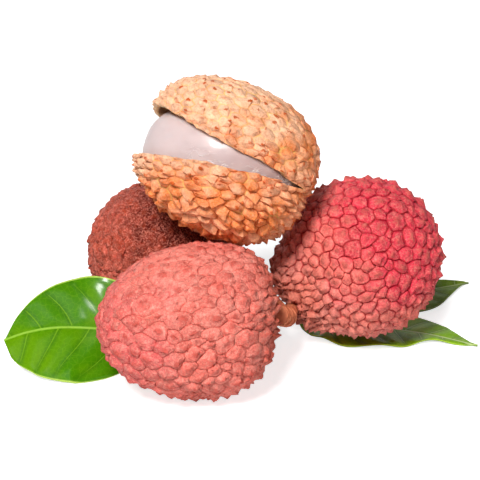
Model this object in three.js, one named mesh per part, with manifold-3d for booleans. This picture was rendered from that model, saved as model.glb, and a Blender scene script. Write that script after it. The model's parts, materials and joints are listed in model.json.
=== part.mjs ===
// A bunch of lychees as picked, lying on the XY plane: three whole fruits, a fourth whose peel is
// split and bent open over its white flesh, a forked woody twig and three leaves.
// Millimetres, +Z up, +X along the longest side of the bunch.
import * as THREE from "three";
import { ConvexHull } from "three/addons/math/ConvexHull.js";
import { mergeVertices } from "three/addons/utils/BufferGeometryUtils.js";
import Module from "manifold-3d";

const wasm = await Module();
wasm.setup();

// ---- driving dimensions

const clearance = 0.3; // between pieces that touch
const leafThickness = 0.5;

// Each fruit: where its middle is, where its length and its stem point, its half sizes over the tips
// of the tubercles, how full its form is (2 makes an ellipsoid), how much its shoulders at the near
// end outgrow its far end, its turn about its length, and how many tubercles of what height it has.
const fruits = {
  front: {
    centre: [-9.95, -40.7, 15.1],
    long: [0.97, 0.234, -0.01],
    stem: [0.97, 0.234, -0.01],
    half: { across: 15.4, height: 15.9, length: 18.9 },
    fullness: 2.14,
    shoulders: 0.1363,
    roll: 0,
    tubercles: { count: 260, height: 1.0 },
    sitsAt: 0,
  },
  right: {
    centre: [24.9, -15.8, 18.3],
    long: [-0.66, -0.626, -0.41],
    stem: [-0.78, -0.42, -0.46],
    half: { across: 18.4, height: 17.7, length: 18.6 },
    fullness: 2.0,
    shoulders: 0.02,
    roll: 0,
    tubercles: { count: 280, height: 0.9 },
    sitsAt: leafThickness + 2 * clearance,
  },
  back: {
    centre: [-17.59, -6.5, 15.5],
    long: [0.97, -0.02, -0.22],
    stem: [0.97, -0.02, -0.22],
    half: { across: 16.4, height: 16.2, length: 16.5 },
    fullness: 2.06,
    shoulders: 0.02,
    roll: 0,
    tubercles: { count: 240, height: 0.9 },
    sitsAt: 0,
  },
  opened: {
    centre: [-3.7, -23.0, 41.1],
    long: [0.947, -0.023, -0.344],
    stem: [0.75, 0.61, -0.25],
    half: { across: 16.6, height: 14.65, length: 19.1 },
    fullness: 2.14,
    shoulders: 0.13,
    roll: -22.5,
    tubercles: { count: 280, height: 1.2 },
  },
};
const crowding = 0.14; // how much closer the tubercles stand round the stem
const jitter = 0.24; // how far a tubercle strays from an even spacing
const dimple = { depth: 0.9, spread: 0.22 }; // the hollow that the stem grows out of

const peelThickness = 1.1;
// The split runs all round the opened fruit but for the hinge, a line across the fruit near one end.
const split = {
  hingeAlong: 16.5,
  hingeAbove: 0,
  dip: 5.3,
  lean: 5.1,
  width: 0.12,
  opening: 13.8,
  liftFrom: 22.5, // where the lid's edge starts to stand clear of the cup's, and how steeply
  lift: 0.22,
};
const fleshGap = { length: 0.35, side: 0.35 };

// The twig runs from the fork between two of the fruits to the middle and the rear fork, where it
// parts into its stub and the stalk of the opened fruit. Its thickest stretch is ringed.
const twigPath = {
  fork: [9.6, -30.4, 11.6],
  dip: [[5.4, -20, 12.2], [3, -12, 12]],
  middle: [2.3, -6.2, 12.1],
  rearFork: [-1.2, 1.5, 11.4],
  stub: [[-1.4, 8, 11], [-2.2, 14, 10.4]],
  climb: [[-1.2, 3, 16.8], [4.4, 1.4, 24.8], [11, -4, 31.2], [12.4, -9, 34.6]],
};
const twigRadius = { ringed: 2.2, fork: 1.7, main: 1.5, thin: 1.3, pedicel: 1.05 };
const twigRings = { count: 4, depth: 0.07 };
const twigSides = 8;
const stalkRadius = 0.7; // of a leaf

// Each leaf: the line of its midrib from the twig to its tip, the side it faces at its base and at
// its tip, how wide its two halves are, the share of its length that is stalk, where its blade is
// widest, how quickly it narrows to its base and each half to the tip, the fold between the halves,
// and the ripple along its edges.
const leaves = {
  leaf_left: {
    midrib: [
      [2.2, -12.8, 10.2],
      [-5.5, -18.2, 6.6],
      [-13.5, -22.8, 5.2],
      [-20, -25.4, 6.4],
      [-28, -28.4, 7.9],
      [-38, -29.2, 8.475],
      [-44, -29.8, 7.7],
      [-48.7, -31.0, 6.55],
    ],
    faces: { base: [0, -1, 0.1], tip: [0.18, -0.641, 0.643] },
    halfWidth: [10.97, 12.1],
    stalkShare: 0.31,
    widest: 0.5575,
    taper: { base: 1.1, tip: [1.2, 0.34] },
    fold: 0.07,
    ripple: { height: 0.3, waves: 2.5, start: 0.4 },
    color: 0x4f8f12,
  },
  leaf_front_right: {
    midrib: [
      [4.4, -8.6, 10.2],
      [6.6, -7.8, 5.2],
      [12, -5.6, 1.2],
      [20, -7.9, 0.3],
      [30, -12.35, 0.2],
      [40.5, -15.8, 0.4],
      [50.9, -21.75, 0.6],
    ],
    faces: { base: [0, 0, 1], tip: [0.225, 0, 1] },
    halfWidth: [11.3, 10.55],
    stalkShare: 0.2,
    widest: 0.3675,
    taper: { base: 1.0, tip: [1.9, 1.15] },
    fold: -0.02,
    ripple: { height: 0.5, waves: 4, start: 0.6 },
    color: 0x7f9a3c,
  },
  leaf_back_right: {
    midrib: [
      [-0.3, 6.2, 9.0],
      [4.5, 7.0, 4.2],
      [13, 4.6, 2.7],
      [26, 3.2, 1.5],
      [37, 4.2, 1.2],
      [46, 7.65, 0.6],
      [54.2, 11.2, 0.4],
    ],
    faces: { base: [0, 0, 1], tip: [0.0375, 0, 1] },
    halfWidth: [11.6, 7.8],
    stalkShare: 0.2,
    widest: 0.5,
    taper: { base: 0.9, tip: [1.5, 1.1] },
    fold: 0.03,
    ripple: { height: 0.4, waves: 2, start: 2.6 },
    color: 0x5f6f3a,
  },
};

const paint = {
  peel: { color: 0xd8736b, roughness: 0.75, metalness: 0 },
  openedPeel: { color: 0xe2a578, roughness: 0.75, metalness: 0 },
  flesh: { color: 0xeadedb, roughness: 0.2, metalness: 0 },
  bark: { color: 0x7a5238, roughness: 0.85, metalness: 0 },
};

// ---- solids and meshes

function vector(list) {
  return new THREE.Vector3(...list);
}

// A closed geometry as a solid that can be joined and cut.
function toSolid(geometry) {
  const bare = geometry.clone();
  bare.deleteAttribute("normal");
  bare.deleteAttribute("uv");
  const merged = mergeVertices(bare, 1e-4);
  return new wasm.Manifold(
    new wasm.Mesh({
      numProp: 3,
      vertProperties: new Float32Array(merged.getAttribute("position").array),
      triVerts: new Uint32Array(merged.index.array),
    }),
  );
}

function toGeometry(solid) {
  const { vertProperties, triVerts } = solid.getMesh();
  const geometry = new THREE.BufferGeometry();
  geometry.setAttribute("position", new THREE.BufferAttribute(vertProperties, 3));
  geometry.setIndex(new THREE.BufferAttribute(triVerts, 1));
  return geometry;
}

// Moves every vertex of a geometry by a rule that takes and returns a Vector3.
function moveVertices(geometry, rule) {
  const position = geometry.getAttribute("position");
  const point = new THREE.Vector3();
  for (let i = 0; i < position.count; i += 1) {
    point.fromBufferAttribute(position, i);
    const moved = rule(point.clone());
    position.setXYZ(i, moved.x, moved.y, moved.z);
  }
  return geometry;
}

function namedMesh(name, geometry, look, frame) {
  const drawn = geometry.index ? geometry.toNonIndexed() : geometry;
  drawn.computeVertexNormals();
  const mesh = new THREE.Mesh(drawn, new THREE.MeshStandardMaterial(look));
  mesh.name = name;
  if (frame) mesh.applyMatrix4(frame);
  return mesh;
}

// ---- the skin of a fruit

// A fruit's own frame: X across, Y up through its height, Z along its length.
function fruitFrame(fruit) {
  const long = vector(fruit.long).normalize();
  const level = new THREE.Vector3(0, 0, 1).cross(long).normalize();
  const across = level.applyAxisAngle(long, THREE.MathUtils.degToRad(fruit.roll));
  const height = long.clone().cross(across);
  return new THREE.Matrix4().makeBasis(across, height, long).setPosition(...fruit.centre);
}

// The stem's direction in the fruit's own frame.
function stemDirection(fruit) {
  const turn = fruitFrame(fruit).invert();
  return vector(fruit.stem).transformDirection(turn);
}

// The point of the skin in a given direction, a stated depth below the tips of the tubercles.
function skinPoint(fruit, direction, depth) {
  const { across, height, length } = fruit.half;
  const parts = direction.toArray().map((part) => Math.abs(part) ** fruit.fullness);
  const swell = (parts[0] + parts[1] + parts[2]) ** (-1 / fruit.fullness);
  const girth = swell * (1 + fruit.shoulders * direction.z);
  const point = new THREE.Vector3(
    direction.x * (across * girth - depth),
    direction.y * (height * girth - depth),
    direction.z * (length * swell - depth),
  );
  const stem = stemDirection(fruit);
  const offStem = Math.max(0, 1 - direction.dot(stem));
  const hollow = dimple.depth * Math.exp(-((offStem / dimple.spread) ** 2) * 9);
  return point.addScaledVector(stem, -hollow);
}

// A repeatable stream of numbers from 0 to 1.
function randomStream(seed) {
  let state = seed;
  return () => {
    state = (state * 16807) % 2147483647;
    return state / 2147483647;
  };
}

// Directions of the tubercles: a spiral from the stem to the far end, crowded at the stem.
function tubercleDirections(fruit) {
  const { count } = fruit.tubercles;
  const random = randomStream(1009 + count);
  const spacing = Math.sqrt((4 * Math.PI) / count);
  const goldenTurn = Math.PI * (1 + Math.sqrt(5));
  const toStem = new THREE.Quaternion().setFromUnitVectors(
    new THREE.Vector3(0, 0, 1),
    stemDirection(fruit),
  );
  return Array.from({ length: count }, (_, i) => {
    const evenAngle = Math.acos(1 - (2 * (i + 0.5)) / count);
    const fromStem = Math.PI * (evenAngle / Math.PI) ** (1 + crowding);
    const stray = new THREE.Vector3(random() - 0.5, random() - 0.5, random() - 0.5);
    return new THREE.Vector3()
      .setFromSphericalCoords(1, fromStem, goldenTurn * i)
      .applyAxisAngle(new THREE.Vector3(1, 0, 0), Math.PI / 2)
      .addScaledVector(stray, 2 * jitter * spacing)
      .normalize()
      .applyQuaternion(toStem);
  });
}

// A closed skin of pointed tubercles: each covers the directions that lie nearest to it, so the
// grooves between them meet in threes like the cells of a honeycomb.
function tubercledSkin(fruit) {
  const tips = tubercleDirections(fruit);
  const cells = new Map(tips.map((tip) => [tip, []]));
  for (const face of new ConvexHull().setFromPoints(tips).faces) {
    const corner = face.normal.clone().normalize();
    let edge = face.edge;
    do {
      cells.get(edge.head().point).push(corner);
      edge = edge.next;
    } while (edge !== face.edge);
  }
  const corners = [];
  for (const [tip, around] of cells) {
    const side = new THREE.Vector3(tip.y, tip.z, tip.x).cross(tip).normalize();
    const other = tip.clone().cross(side);
    around.sort((a, b) => angleAbout(a, side, other) - angleAbout(b, side, other));
    around.forEach((corner, i) => {
      const next = around[(i + 1) % around.length];
      corners.push(
        skinPoint(fruit, tip, 0),
        skinPoint(fruit, corner, fruit.tubercles.height),
        skinPoint(fruit, next, fruit.tubercles.height),
      );
    });
  }
  return new THREE.BufferGeometry().setFromPoints(corners);
}

function angleAbout(direction, side, other) {
  return Math.atan2(direction.dot(other), direction.dot(side));
}

// ---- the whole fruits

// Everything below the height at which a fruit sits, in the frame of the bunch.
function restingBlock(fruit) {
  const size = 4 * fruit.half.length;
  const block = new THREE.BoxGeometry(size, size, size);
  block.translate(fruit.centre[0], fruit.centre[1], fruit.sitsAt - size / 2);
  return block;
}

// A whole lychee, with the tubercles that it rests on pressed flat.
function wholeLychee(name, fruit) {
  const frame = fruitFrame(fruit);
  const standing = toSolid(tubercledSkin(fruit).applyMatrix4(frame));
  const pressed = standing.subtract(toSolid(restingBlock(fruit)));
  const geometry = toGeometry(pressed).applyMatrix4(frame.clone().invert());
  return namedMesh(name, geometry, paint.peel, frame);
}

// ---- the opened fruit

// The frame of the split in the fruit's own frame: X along the hinge, Y towards the lid, and Z from
// the hinge along the split to the far end of the fruit.
function splitFrame() {
  const alongSplit = new THREE.Vector3(0, 0, -1).applyAxisAngle(
    new THREE.Vector3(1, 0, 0),
    THREE.MathUtils.degToRad(-split.dip),
  );
  const hinge = new THREE.Vector3(-1, 0, 0).applyAxisAngle(
    alongSplit,
    THREE.MathUtils.degToRad(split.lean),
  );
  const towardsLid = alongSplit.clone().cross(hinge);
  return new THREE.Matrix4()
    .makeBasis(hinge, towardsLid, alongSplit)
    .setPosition(0, split.hingeAbove, split.hingeAlong);
}

// Bends the peel open: what lies beside the split on the lid's side turns by the whole opening, what
// lies beside it on the cup's side stays, and the peel behind the hinge line shares out the turn.
function bendOpen(point) {
  const frame = splitFrame();
  const local = point.applyMatrix4(frame.clone().invert());
  const radius = Math.hypot(local.y, local.z);
  const fullTurn = 2 * Math.PI;
  const angle = (Math.atan2(local.y, local.z) + fullTurn) % fullTurn;
  const share = 1 - THREE.MathUtils.smoothstep(angle, 0.25 * fullTurn, 0.75 * fullTurn);
  const opened = angle + THREE.MathUtils.degToRad(split.opening) * share;
  local.y = radius * Math.sin(opened);
  local.z = radius * Math.cos(opened);
  return local.applyMatrix4(frame);
}

function smoothBody(fruit, depth, endDepth) {
  const ball = new THREE.SphereGeometry(1, 26, 18);
  const trimmed = { ...fruit, half: { ...fruit.half, length: fruit.half.length - endDepth + depth } };
  return moveVertices(ball, (direction) => skinPoint(trimmed, direction, depth));
}

function openedPeel() {
  const fruit = fruits.opened;
  const wallDepth = fruit.tubercles.height + peelThickness;
  const reach = 3 * fruit.half.length;
  const slab = new THREE.BoxGeometry(reach, split.width, reach, 1, 1, 5).translate(0, 0, reach / 2);
  const cut = moveVertices(slab, (point) => {
    if (point.y > 0) point.y += split.lift * Math.max(0, point.z - split.liftFrom);
    return point;
  });
  const shell = toSolid(tubercledSkin(fruit))
    .subtract(toSolid(smoothBody(fruit, wallDepth, wallDepth)))
    .subtract(toSolid(cut.applyMatrix4(splitFrame())));
  const geometry = moveVertices(toGeometry(shell), bendOpen);
  return namedMesh("opened_peel", geometry, paint.openedPeel, fruitFrame(fruit));
}

function openedFlesh() {
  const fruit = fruits.opened;
  const wallDepth = fruit.tubercles.height + peelThickness;
  const geometry = smoothBody(fruit, wallDepth + fleshGap.side, wallDepth + fleshGap.length);
  return namedMesh("opened_flesh", geometry, paint.flesh, fruitFrame(fruit));
}

// ---- the twig

// A round branch along a smooth curve. Its rule gives the radius at each share of its length.
function branch(points, radiusAt, segments) {
  const curve = new THREE.CatmullRomCurve3(points.map(vector));
  const rod = new THREE.CylinderGeometry(1, 1, 1, twigSides, segments);
  return moveVertices(rod, ({ x, y, z }) => {
    const share = y + 0.5;
    const along = curve.getTangentAt(share);
    const side = along.clone().cross(new THREE.Vector3(0.2, 0.1, 1)).normalize();
    const other = side.clone().cross(along);
    const radius = radiusAt(share);
    return curve
      .getPointAt(share)
      .addScaledVector(side, x * radius)
      .addScaledVector(other, z * radius);
  });
}

// The skin of a fruit pushed out by the clearance, to cut back what would touch it.
function keepClear(fruit) {
  const outside = smoothBody(fruit, -clearance, -clearance);
  if (fruit === fruits.opened) moveVertices(outside, bendOpen);
  return toSolid(outside.applyMatrix4(fruitFrame(fruit)));
}

function stemPole(fruit, depth) {
  const pole = skinPoint(fruit, stemDirection(fruit), depth);
  return pole.applyMatrix4(fruitFrame(fruit)).toArray();
}

function twig() {
  const { fork, dip, middle, rearFork, stub, climb } = twigPath;
  const { ringed, fork: atFork, main, thin, pedicel } = twigRadius;
  const thinning = (from, to) => (share) => THREE.MathUtils.lerp(from, to, share);
  const ring = (share) =>
    ringed * (1 - twigRings.depth * (1 - Math.cos(share * twigRings.count * 2 * Math.PI)));
  const parts = [
    branch([stemPole(fruits.front, 0), fork], ring, 16),
    branch([fork, stemPole(fruits.right, 0)], thinning(atFork, main), 4),
    branch([fork, ...dip, middle], thinning(main, main), 10),
    branch([middle, rearFork, ...stub], thinning(main, atFork), 10),
    branch([middle, stemPole(fruits.back, 0)], thinning(thin, pedicel), 3),
    branch([rearFork, ...climb, stemPole(fruits.opened, 0)], thinning(thin, pedicel), 14),
  ];
  let joined = parts.map(toSolid).reduce((whole, next) => whole.add(next));
  for (const fruit of Object.values(fruits)) joined = joined.subtract(keepClear(fruit));
  return namedMesh("twig", toGeometry(joined), paint.bark);
}

// ---- the leaves

// How wide one half of a leaf is at a share of its blade. The halves are 0 and 1.
function bladeWidth(leaf, half, share) {
  const towardsTip = share > leaf.widest;
  const reach = towardsTip ? 1 - leaf.widest : leaf.widest;
  const fromWidest = Math.min(1, Math.abs(share - leaf.widest) / reach);
  const taper = towardsTip ? leaf.taper.tip[half] : leaf.taper.base;
  return Math.max(0.2, leaf.halfWidth[half] * (1 - fromWidest ** 2) ** taper);
}

function leafMesh(name, leaf) {
  const curve = new THREE.CatmullRomCurve3(leaf.midrib.map(vector));
  const slab = new THREE.BoxGeometry(1, 2, 1, 30, 6, 1);
  const geometry = moveVertices(slab, ({ x, y, z }) => {
    const share = x + 0.5;
    const blade = Math.max(0, (share - leaf.stalkShare) / (1 - leaf.stalkShare));
    const opening = THREE.MathUtils.smoothstep(blade, 0, 0.08);
    const halfWidth = THREE.MathUtils.lerp(stalkRadius, bladeWidth(leaf, y < 0 ? 0 : 1, blade), opening);
    const along = curve.getTangentAt(share);
    const facing = vector(leaf.faces.base).lerp(vector(leaf.faces.tip), Math.min(1, 1.6 * blade));
    const side = facing.cross(along).normalize();
    const up = along.clone().cross(side);
    const { height, waves, start } = leaf.ripple;
    const ripple = height * Math.sin(2 * Math.PI * waves * blade + start) * y * y * opening;
    const fold = leaf.fold * Math.abs(y) * halfWidth;
    const ridge = 2 * stalkRadius * Math.sqrt(1 - 0.8 * y * y);
    const veined = leafThickness * (1 + 0.5 * (1 - blade) * (1 - Math.abs(y)) ** 4);
    const thickness = THREE.MathUtils.lerp(ridge, veined, opening);
    const middle = curve.getPointAt(share);
    middle.addScaledVector(side, y * halfWidth).addScaledVector(up, fold + ripple);
    middle.z = Math.max(middle.z, 0.5 * thickness);
    return middle.addScaledVector(up, z * thickness);
  });
  const look = { color: leaf.color, roughness: 0.45, metalness: 0 };
  return namedMesh(name, geometry, look);
}

// ---- the bunch

const bunch = new THREE.Group();
bunch.add(wholeLychee("lychee_front", fruits.front));
bunch.add(wholeLychee("lychee_right", fruits.right));
bunch.add(wholeLychee("lychee_back", fruits.back));
bunch.add(openedPeel());
bunch.add(openedFlesh());
bunch.add(twig());
for (const [name, leaf] of Object.entries(leaves)) bunch.add(leafMesh(name, leaf));

// The origin is on the surface that the bunch rests on, below the middle of its bounding box.
const box = new THREE.Box3().setFromObject(bunch, true);
const middle = box.getCenter(new THREE.Vector3());
bunch.position.set(-middle.x, -middle.y, -box.min.z);

export default bunch;
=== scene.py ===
import json
import math
from functools import partial

import bmesh
import bpy
import numpy as np
from mathutils import Matrix, Vector, noise

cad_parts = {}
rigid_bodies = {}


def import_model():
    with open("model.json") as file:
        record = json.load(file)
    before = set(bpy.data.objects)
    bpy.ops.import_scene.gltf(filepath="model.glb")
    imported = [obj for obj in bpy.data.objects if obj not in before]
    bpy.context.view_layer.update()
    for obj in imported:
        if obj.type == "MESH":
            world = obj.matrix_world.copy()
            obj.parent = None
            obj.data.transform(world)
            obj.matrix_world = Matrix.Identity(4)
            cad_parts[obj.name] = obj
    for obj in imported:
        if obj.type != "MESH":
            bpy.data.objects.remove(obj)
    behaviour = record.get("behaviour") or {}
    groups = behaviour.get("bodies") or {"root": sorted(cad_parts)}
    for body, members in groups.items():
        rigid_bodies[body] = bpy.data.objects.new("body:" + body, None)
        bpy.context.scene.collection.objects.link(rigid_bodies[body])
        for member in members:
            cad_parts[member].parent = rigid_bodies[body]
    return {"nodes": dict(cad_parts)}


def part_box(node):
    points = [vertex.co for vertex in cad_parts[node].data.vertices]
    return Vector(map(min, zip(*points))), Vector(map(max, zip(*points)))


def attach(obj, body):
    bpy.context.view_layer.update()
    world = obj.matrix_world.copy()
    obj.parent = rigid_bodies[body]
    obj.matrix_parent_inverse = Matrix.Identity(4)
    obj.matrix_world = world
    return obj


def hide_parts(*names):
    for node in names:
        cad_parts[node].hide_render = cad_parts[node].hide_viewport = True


for leftover in list(bpy.data.objects):
    bpy.data.objects.remove(leftover)
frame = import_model()
bpy.context.view_layer.update()
print("frame loaded:", sorted(frame["nodes"]))

mm = 0.001

# the camera, and the point on the ground that the places in the bunch are measured from

cameraSetup = {
    "lens": 100.0,
    "sensor": 36.0,
    "near": 0.01,
    "distance": 300.05 * mm,
    "elevation": 22.5,
    "aimHeight": 16.1 * mm,
}


def middleOf(node):
    low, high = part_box(node)
    return (low + high) / 2


def addObject(name, data):
    made = bpy.data.objects.new(name, data)
    bpy.context.scene.collection.objects.link(made)
    return made


def placeCamera(setup, ground):
    camera = addObject("camera", bpy.data.cameras.new("camera"))
    camera.data.lens = setup["lens"]
    camera.data.sensor_width = setup["sensor"]
    camera.data.clip_start = setup["near"]
    rise = math.radians(setup["elevation"])
    back = Vector((0, -math.cos(rise), math.sin(rise)))
    camera.location = ground + Vector((0, 0, setup["aimHeight"])) + back * setup["distance"]
    camera.rotation_euler = (-back).to_track_quat("-Z", "Y").to_euler()
    bpy.context.scene.camera = camera


bunchOrigin = middleOf("lychee_front") + Vector((10.073, 40.046, -15.556)) * mm
placeCamera(cameraSetup, bunchOrigin)
bpy.context.scene.view_settings.view_transform = "Standard"
print("camera placed")

# small helpers for node trees; those without a tree find it from the sockets they are given


def link(socket, value):
    if isinstance(value, bpy.types.NodeSocket):
        socket.id_data.links.new(value, socket)
    else:
        socket.default_value = value


def addNode(tree, kind, values=None, **settings):
    node = tree.nodes.new(kind)
    for name, value in settings.items():
        setattr(node, name, value)
    for name, value in (values or {}).items():
        link(node.inputs[name], value)
    return node


def treeOf(values):
    return next(value.id_data for value in values if isinstance(value, bpy.types.NodeSocket))


def calc(operation, *values):
    node = addNode(treeOf(values), "ShaderNodeMath", operation=operation)
    for socket, value in zip(node.inputs, values):
        link(socket, value)
    return node.outputs[0]


plus = partial(calc, "ADD")
minus = partial(calc, "SUBTRACT")
times = partial(calc, "MULTIPLY")
over = partial(calc, "DIVIDE")
timesPlus = partial(calc, "MULTIPLY_ADD")
absolute = partial(calc, "ABSOLUTE")


def vectorCalc(operation, *values):
    node = addNode(treeOf(values), "ShaderNodeVectorMath", operation=operation)
    for socket, value in zip(node.inputs, values):
        link(socket, value)
    isNumber = operation in ("DOT_PRODUCT", "LENGTH")
    return node.outputs["Value" if isNumber else "Vector"]


moved = partial(vectorCalc, "ADD")
scaled = partial(vectorCalc, "MULTIPLY")
dot = partial(vectorCalc, "DOT_PRODUCT")


def ramp(value, fromLow, fromHigh, toLow=0.0, toHigh=1.0, kind="SMOOTHSTEP"):
    node = addNode(value.id_data, "ShaderNodeMapRange", interpolation_type=kind)
    for socket, given in zip(node.inputs, (value, fromLow, fromHigh, toLow, toHigh)):
        link(socket, given)
    return node.outputs[0]


def mixColour(share, first, second):
    # the node's first, seventh and eighth sockets are the ones that mix two colours
    node = addNode(treeOf((share, first, second)), "ShaderNodeMix", data_type="RGBA")
    for place, value in ((0, share), (6, first), (7, second)):
        link(node.inputs[place], value)
    return node.outputs[2]


def cloudy(place, scale, detail=2.0, roughness=0.5, distortion=0.0, output="Fac"):
    values = {"Vector": place, "Scale": scale, "Detail": detail}
    values.update({"Roughness": roughness, "Distortion": distortion})
    return addNode(place.id_data, "ShaderNodeTexNoise", values).outputs[output]


def newTree(name, kind, inputs, outputs):
    tree = bpy.data.node_groups.new(name, kind)
    for direction, sockets in (("INPUT", inputs), ("OUTPUT", outputs)):
        for socketKind, labels in sockets.items():
            for label in labels:
                tree.interface.new_socket(
                    label, in_out=direction, socket_type="NodeSocket" + socketKind
                )
    given = tree.nodes.new("NodeGroupInput").outputs
    result = tree.nodes.new("NodeGroupOutput").inputs
    return tree, given, result


def useGroup(tree, group, values):
    isShader = tree.bl_idname == "ShaderNodeTree"
    node = tree.nodes.new("ShaderNodeGroup" if isShader else "GeometryNodeGroup")
    node.node_tree = group
    for name, value in values.items():
        link(node.inputs[name], value)
    return node.outputs


# helpers for meshes and materials


def meshWithModifiers(holder):
    # the mesh that an object's modifiers make of it; the object itself goes
    bpy.context.view_layer.update()
    seen = holder.evaluated_get(bpy.context.evaluated_depsgraph_get())
    made = bpy.data.meshes.new_from_object(seen)
    bpy.data.objects.remove(holder)
    return made


def grow(name, tree, values):
    # runs a geometry tree and keeps the result as a plain mesh
    holder = addObject(name, bpy.data.meshes.new(name))
    modifier = holder.modifiers.new(tree.name, "NODES")
    modifier.node_group = tree
    for item in tree.interface.items_tree:
        if item.item_type == "SOCKET" and item.in_out == "INPUT":
            modifier[item.identifier] = values[item.name]
    grown = meshWithModifiers(holder)
    grown.name = name
    return addObject(name, grown)


def pointsOf(mesh):
    flat = np.empty(len(mesh.vertices) * 3, np.float32)
    mesh.vertices.foreach_get("co", flat)
    return flat.reshape(-1, 3).astype(float)


def setPoints(mesh, points):
    mesh.vertices.foreach_set("co", points.astype(np.float32).ravel())
    mesh.update()


def settle(mesh, node, pressed):
    # moves a mesh to its CAD node's place; pressed keeps the top and flattens what would sink
    low, high = (np.array(corner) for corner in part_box(node))
    points = pointsOf(mesh)
    shift = (low + high) / 2 - (points.min(0) + points.max(0)) / 2
    if pressed:
        shift[2] = high[2] - points[:, 2].max()
    points += shift
    if pressed:
        points[:, 2] = np.maximum(points[:, 2], low[2])
    setPoints(mesh, points)


def colour(red, green, blue):
    # a colour as it looks on screen, 0 to 255
    parts = [part / 255 for part in (red, green, blue)]
    parts = [p / 12.92 if p <= 0.04045 else ((p + 0.055) / 1.055) ** 2.4 for p in parts]
    return (*parts, 1.0)


def surface(name, roughness, **settings):
    # a material with its Principled shader and its output
    made = bpy.data.materials.new(name)
    made.use_nodes = True
    tree = made.node_tree
    tree.nodes.clear()
    shader = tree.nodes.new("ShaderNodeBsdfPrincipled")
    shader.inputs["Roughness"].default_value = roughness
    for label, value in settings.items():
        shader.inputs[label.replace("_", " ")].default_value = value
    output = tree.nodes.new("ShaderNodeOutputMaterial")
    link(output.inputs[0], shader.outputs[0])
    return made, tree, shader


def ownPlace(tree):
    return addNode(tree, "ShaderNodeTexCoord").outputs["Object"]


def attributeOf(tree, name):
    return addNode(tree, "ShaderNodeAttribute", attribute_name=name).outputs["Fac"]


def bumpBy(shader, height, strength, distance):
    values = {"Strength": strength, "Distance": distance, "Height": height}
    relief = addNode(shader.id_data, "ShaderNodeBump", values)
    link(shader.inputs["Normal"], relief.outputs[0])


# the form of a fruit, and its skin of tubercles

bodyVectors = ("Half", "Stem")
bodyNumbers = ("Fullness", "Shoulders", "Dimple Depth", "Dimple Spread")
bodyInputs = (*bodyVectors, *bodyNumbers)
stemDimple = {"depth": 0.9, "spread": 0.22, "fall": 9.0}  # the depth in mm


def bodyShapeTree():
    # where a direction from a fruit's middle meets its skin, a depth below the tubercles' tips
    tree, given, result = newTree(
        "lycheeBody",
        "GeometryNodeTree",
        {"Vector": ("Direction", *bodyVectors), "Float": ("Depth", *bodyNumbers)},
        {"Vector": ("Position",)},
    )
    direction, stem = given["Direction"], given["Stem"]
    parts = addNode(tree, "ShaderNodeSeparateXYZ", {0: direction}).outputs
    powers = [calc("POWER", absolute(part), given["Fullness"]) for part in parts]
    total = plus(plus(powers[0], powers[1]), powers[2])
    swell = calc("POWER", total, over(-1.0, given["Fullness"]))
    girth = times(swell, timesPlus(parts[2], given["Shoulders"], 1.0))
    fullness = addNode(tree, "ShaderNodeCombineXYZ", {0: girth, 1: girth, 2: swell}).outputs[0]
    reach = vectorCalc("SUBTRACT", scaled(fullness, given["Half"]), given["Depth"])
    point = scaled(direction, reach)
    # the dimple round the stem fades out like a bell
    offStem = calc("MAXIMUM", minus(1.0, dot(direction, stem)), 0.0)
    spread = calc("POWER", over(offStem, given["Dimple Spread"]), 2.0)
    hollow = times(calc("EXPONENT", times(spread, -stemDimple["fall"])), given["Dimple Depth"])
    link(result[0], vectorCalc("SUBTRACT", point, scaled(stem, hollow)))
    return tree


def placeOf(tree):
    return addNode(tree, "GeometryNodeInputPosition").outputs[0]


def placed(geometry, position):
    values = {"Geometry": geometry, "Position": position}
    return addNode(geometry.id_data, "GeometryNodeSetPosition", values).outputs[0]


def finished(geometry, material, smooth=True):
    tree = geometry.id_data
    shading = {"Geometry": geometry, "Shade Smooth": smooth}
    shaded = addNode(tree, "GeometryNodeSetShadeSmooth", shading).outputs[0]
    real = addNode(tree, "GeometryNodeRealizeInstances", {"Geometry": shaded}).outputs[0]
    dressing = {"Geometry": real, "Material": material}
    return addNode(tree, "GeometryNodeSetMaterial", dressing).outputs[0]


def seededVector(seed, key):
    node = addNode(key.id_data, "FunctionNodeRandomValue", data_type="FLOAT_VECTOR")
    for place, value in ((0, (-1, -1, -1)), (1, (1, 1, 1)), (7, key), (8, seed)):
        link(node.inputs[place], value)
    return node.outputs[0]


def seededNumber(seed, key, low, high):
    node = addNode(key.id_data, "FunctionNodeRandomValue", data_type="FLOAT")
    for place, value in ((2, low), (3, high), (7, key), (8, seed)):
        link(node.inputs[place], value)
    return node.outputs[1]


def storeValue(geometry, name, value, kind="FLOAT", domain="POINT", chosen=None):
    values = {"Geometry": geometry, "Name": name, "Value": value}
    if chosen is not None:
        values["Selection"] = chosen
    tree = geometry.id_data
    kinds = {"data_type": kind, "domain": domain}
    return addNode(tree, "GeometryNodeStoreNamedAttribute", values, **kinds).outputs[0]


def readValue(tree, name, kind="FLOAT"):
    node = addNode(tree, "GeometryNodeInputNamedAttribute", {"Name": name}, data_type=kind)
    return node.outputs["Attribute"]


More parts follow.
